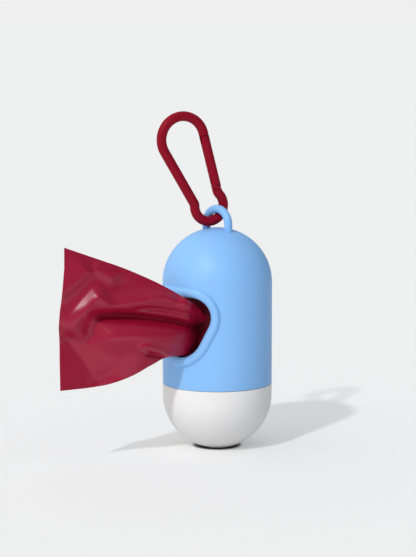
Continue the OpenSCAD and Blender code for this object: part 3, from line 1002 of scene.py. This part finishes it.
@dataclass
class Studio:
    """The pale floor, the lamps and the camera.

    Attributes:
        backdrop: Brightness of the floor and the surroundings in the picture.
        floor_albedo: Share of the light that the floor gives back.
        floor_lit: Level of the floor in open light, for an albedo of 1.
        floor_size: Width of the floor.
        contact: Distance from the foot over which a painted contact shadow darkens the floor.
        contact_power: How fast that painted shadow darkens.
        contact_rays: Rays that find the foot from a point of the floor.
        sky: Level of the light from above the horizon.
        sky_lean: How much brighter it is towards each axis, as a share.
        sky_cool: Tint of the sky at the back.
        sky_warm: Tint of the sky at the front.
        lamp_tint: Tint of the lamps from far away.
        key: Strength of the key light.
        key_travel: Direction in which the key light travels.
        key_size: Angle that the key light covers, in degrees.
        card: Place of the bounce card that lies in front, above the floor.
        card_size: Width of the card.
        card_turn: Its turn about the upright, in degrees.
        card_power: Power of the light that it gives.
        under: Strength of the light that comes up through the floor.
        under_travel: Direction in which that light travels.
        under_size: Angle that it covers, in degrees.
        eye: Place of the camera.
        look: Direction that the camera looks in.
        lens: Focal length, in millimetres.
        sensor: Width of the sensor, in millimetres.
        sight: Least and greatest distance that the camera sees.
    """

    backdrop: float = 0.863
    floor_albedo: float = 0.62
    floor_lit: float = 0.97
    floor_size: float = 60.0
    contact: float = 1.6 * MM
    contact_power: float = 2.0
    contact_rays: int = 8
    sky: float = 0.55
    sky_lean: Triple = (-0.4, -0.62, 0.35)
    sky_cool: Colour = (0.9, 0.97, 1.08)
    sky_warm: Colour = (1.0, 0.995, 0.98)
    lamp_tint: Colour = (1.0, 0.995, 0.985)
    key: float = 0.45 * math.pi
    key_travel: Triple = (-0.28, 1.05, -1.0)
    key_size: float = 3.0
    card: Triple = (0.11, -0.11, 0.002)
    card_size: float = 0.16
    card_turn: float = 45.0
    card_power: float = 0.08
    under: float = 0.12 * math.pi
    under_travel: Triple = (-0.25, 0.35, 0.9)
    under_size: float = 40.0
    eye: Triple = (0.5630, -0.5684, 0.1755)
    look: Triple = (-0.7010, 0.7010, -0.1312)
    lens: float = 126.96
    sensor: float = 36.0
    sight: Point = (0.01, 100.0)

    def shown_to_lens(self, graph: Graph) -> bpy.types.NodeSocket:
        """1 for rays from the camera, also by way of gloss or glass, and 0 for the rest."""
        rays = graph.add("ShaderNodeLightPath").outputs
        first = graph.compute("MAXIMUM", rays["Is Camera Ray"], rays["Is Glossy Ray"])
        return graph.compute("MAXIMUM", first, rays["Is Transmission Ray"])

    def floor_material(self) -> bpy.types.Material:
        """Pale floor that takes the shadow, lifted to the backdrop's level for the lens, and
        darkened near the foot by a painted contact shadow.
        """
        graph = Graph(bpy.data.materials.new("studio_floor"))
        speck = graph.noise(40, 2, graph.place())
        grey = (self.floor_albedo,) * 3
        pale = graph.tint(speck, shade(grey, 0.997), shade(grey, 1.003))
        lift = self.backdrop - self.floor_albedo * self.floor_lit
        # Painted contact shadow: near the foot the occlusion darkens the floor's colour and its
        # lift.
        near = graph.add(
            "ShaderNodeAmbientOcclusion", {"Distance": self.contact}, samples=self.contact_rays,
        ).outputs["AO"]
        soft = graph.compute("POWER", near, self.contact_power)
        tone = graph.add("ShaderNodeVectorMath", {0: pale, 1: soft}, operation="MULTIPLY")
        matte = graph.add("ShaderNodeBsdfDiffuse", {"Color": tone.outputs[0]})
        level = graph.compute("MULTIPLY", soft, self.shown_to_lens(graph))
        glow = graph.add(
            "ShaderNodeEmission",
            {"Color": (1, 1, 1, 1), "Strength": graph.compute("MULTIPLY", level, lift)},
        )
        both = graph.add("ShaderNodeAddShader", {0: matte.outputs[0], 1: glow.outputs[0]})
        return graph.close(both.outputs[0])

    def floor(self, lowest: bpy.types.Object) -> bpy.types.Object:
        """Lay the floor, which goes down with the body that moves below the foot."""
        deselect_all()
        bpy.ops.mesh.primitive_plane_add(size=self.floor_size, location=(0, 0, 0))
        floor = bpy.context.active_object
        floor.name = floor.data.name = "floor"
        floor.data.materials.append(self.floor_material())
        follow = floor.constraints.new("COPY_LOCATION")
        follow.target = lowest
        follow.use_x = follow.use_y = False
        floor.visible_shadow = False
        return floor

    def surroundings(self) -> None:
        """Light from above the horizon, more from the front, and the backdrop for the lens."""
        world = bpy.data.worlds.new("studio")
        bpy.context.scene.world = world
        graph = Graph(world)
        way = graph.add("ShaderNodeTexCoord").outputs["Generated"]
        lean = graph.add(
            "ShaderNodeVectorMath", {0: way, 1: self.sky_lean}, operation="DOT_PRODUCT",
        ).outputs["Value"]
        level = graph.compute("MULTIPLY_ADD", lean, self.sky, self.sky)
        upwards = graph.add("ShaderNodeSeparateXYZ", {0: way}).outputs[2]
        level = graph.compute("MULTIPLY", level, graph.compute("GREATER_THAN", upwards, 0.0))
        front = graph.add(
            "ShaderNodeMapRange", {"Value": lean, "From Min": -0.6, "From Max": 0.6},
        ).outputs[0]
        tone = graph.tint(front, self.sky_cool, self.sky_warm)
        sky = graph.add("ShaderNodeBackground", {0: tone, 1: level})
        seen = graph.add("ShaderNodeBackground", {0: (1, 1, 1, 1), 1: self.backdrop})
        rays = graph.add("ShaderNodeLightPath").outputs
        both = graph.compute("MAXIMUM", rays["Is Camera Ray"], rays["Is Transmission Ray"])
        mixer = graph.add("ShaderNodeMixShader", {0: both, 1: sky.outputs[0], 2: seen.outputs[0]})
        graph.close(mixer.outputs[0])

    def far_light(
        self, name: str, level: float, travel: Triple, size: float,
    ) -> bpy.types.Object:
        """A light from far away that travels in one direction.

        Args:
            name: Name of the lamp.
            level: Its strength.
            travel: Direction in which it travels.
            size: Angle that it covers, in degrees.

        Returns:
            The lamp.
        """
        lamp = bpy.data.lights.new(name, "SUN")
        lamp.energy = level
        lamp.angle = math.radians(size)
        lamp.color = self.lamp_tint
        light = bpy.data.objects.new(name, lamp)
        light.rotation_euler = Vector(travel).to_track_quat("-Z", "Y").to_euler()
        bpy.context.scene.collection.objects.link(light)
        return light

    def bounce_card(self) -> bpy.types.Object:
        """A lamp for a pale card that lies in front, face up, and lifts the underside."""
        lamp = bpy.data.lights.new("bounce_card", "AREA")
        lamp.shape = "RECTANGLE"
        lamp.size = lamp.size_y = self.card_size
        lamp.energy = self.card_power
        card = bpy.data.objects.new("bounce_card", lamp)
        card.location = self.card
        card.rotation_euler = (math.pi, 0, math.radians(self.card_turn))
        card.visible_camera = False
        bpy.context.scene.collection.objects.link(card)
        return card

    def camera(self) -> bpy.types.Object:
        """The camera, where the photograph was taken from."""
        lens = bpy.data.cameras.new("camera")
        lens.lens = self.lens
        lens.sensor_fit = "AUTO"
        lens.sensor_width = self.sensor
        lens.clip_start, lens.clip_end = self.sight
        camera = bpy.data.objects.new("camera", lens)
        camera.location = self.eye
        camera.rotation_euler = Vector(self.look).to_track_quat("-Z", "Y").to_euler()
        bpy.context.scene.collection.objects.link(camera)
        bpy.context.scene.camera = camera
        return camera

    def build(self, lowest: bpy.types.Object) -> None:
        """Set up the whole studio, on a floor that goes down with that body."""
        self.camera()
        self.floor(lowest)
        self.surroundings()
        self.far_light("key", self.key, self.key_travel, self.key_size)
        self.far_light("light_table", self.under, self.under_travel, self.under_size)
        self.bounce_card()
        bpy.context.scene.view_settings.view_transform = "Standard"


# ---------- all together ----------


def main() -> None:
    """Build the scene piece by piece and report each one."""
    logging.basicConfig(level=logging.INFO, format="%(name)s: %(message)s")
    clear_start_up()
    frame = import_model()
    Studio().build(frame["bodies"]["core"])
    palette = Palette()
    shell, coat = palette.shell.material(), palette.coat.material()
    steel, pin_end = palette.steel.material(), palette.pin_end.material()
    carried = [
        CarriedPiece("upper_shell", shell, "shell"),
        CarriedPiece("lower_cup", palette.cup.material(), "cup"),
        CarriedPiece("carabiner_frame", coat, "coated_bar"),
        CarriedPiece("carabiner_gate", coat, "coated_bar"),
        CarriedPiece("gate_hinge_pin", pin_end, "pin_metal"),
        CarriedPiece("gate_latch_pin", pin_end, "pin_metal"),
        CarriedPiece("gate_plunger", steel, "pin_metal"),
        CarriedPiece("gate_spring", steel, "pin_metal"),
        CarriedPiece("roll_core", palette.board.material(), "core_paper"),
    ]
    pieces = [piece.build(frame["nodes"]) for piece in carried]
    pieces.append(Port().build(shell))
    pieces.append(BagRoll().build(palette.wound.material()))
    pieces.append(PulledBag().build(palette.film.material()))
    for piece in pieces:
        LOG.info("%s: %d faces", piece.name, len(piece.data.polygons))


if __name__ == "__main__":
    main()
